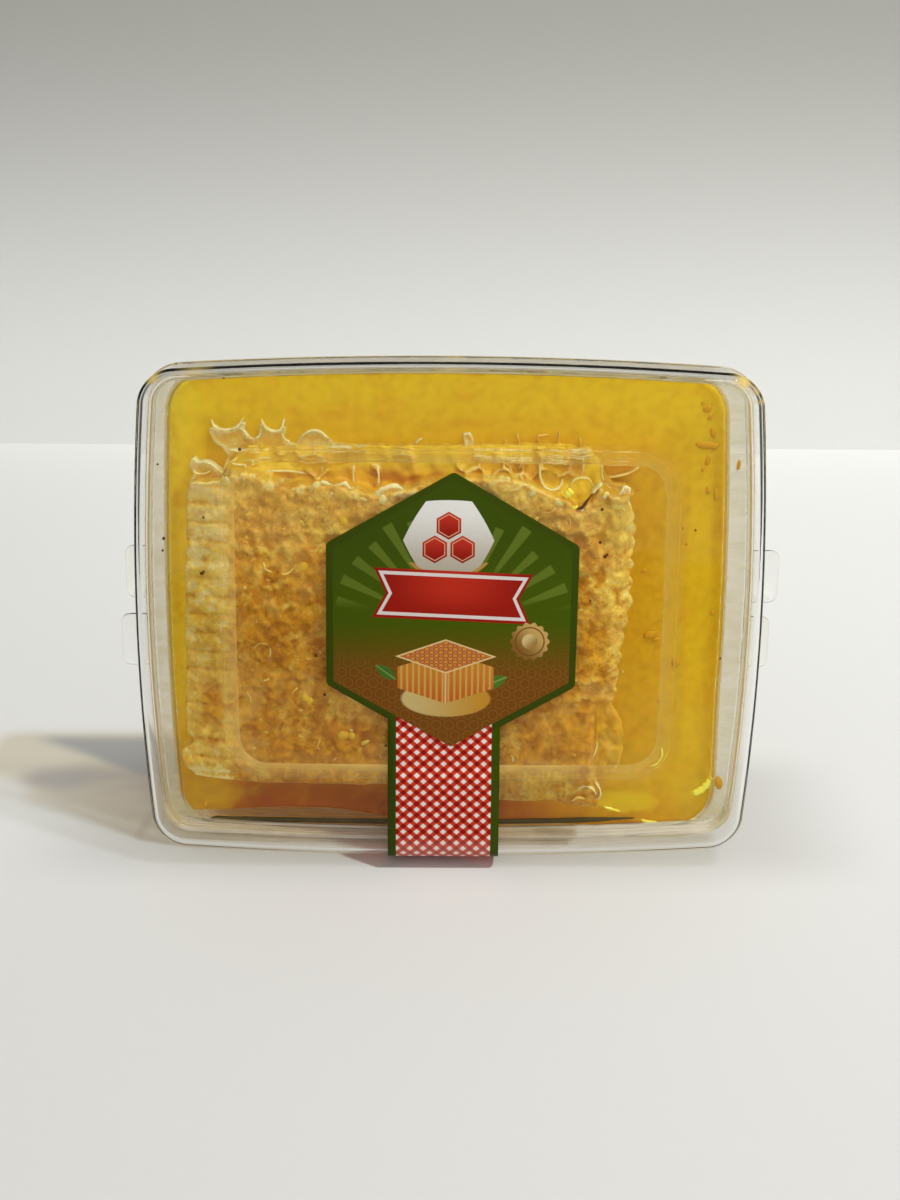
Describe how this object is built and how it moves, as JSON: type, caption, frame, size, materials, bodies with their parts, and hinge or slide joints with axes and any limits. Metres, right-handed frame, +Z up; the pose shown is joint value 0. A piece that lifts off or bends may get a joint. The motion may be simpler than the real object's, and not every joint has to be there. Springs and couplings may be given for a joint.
{
  "type": "comb honey pack",
  "caption": "Clear shut plastic pack of cut comb in honey, leaning on its long side; a hexagonal label runs on as a band that seals lid to tray.",
  "frame": {"origin": "middle of the overall box at table level", "axes": "+X to the right along the pack's long side, +Y from the lid's face to the tray's back, +Z up; the pack leans back about 8 degrees as it stands"},
  "size_m": [0.1646, 0.0512, 0.1255],
  "materials": {
    "lid_plastic": "clear, glossy moulded plastic",
    "tray_plastic": "clear, glossy moulded plastic",
    "label_print": "printed film, satin",
    "back_label_print": "printed film, satin",
    "honey": "thick clear honey, glossy",
    "comb_wax": "honey-wet beeswax, uneven satin"
  },
  "bodies": {
    "root": {"lid": "lid_plastic", "tray": "tray_plastic", "label": "label_print", "back_label": "back_label_print", "honey": "honey", "comb": "comb_wax"}
  },
  "joints": []
}
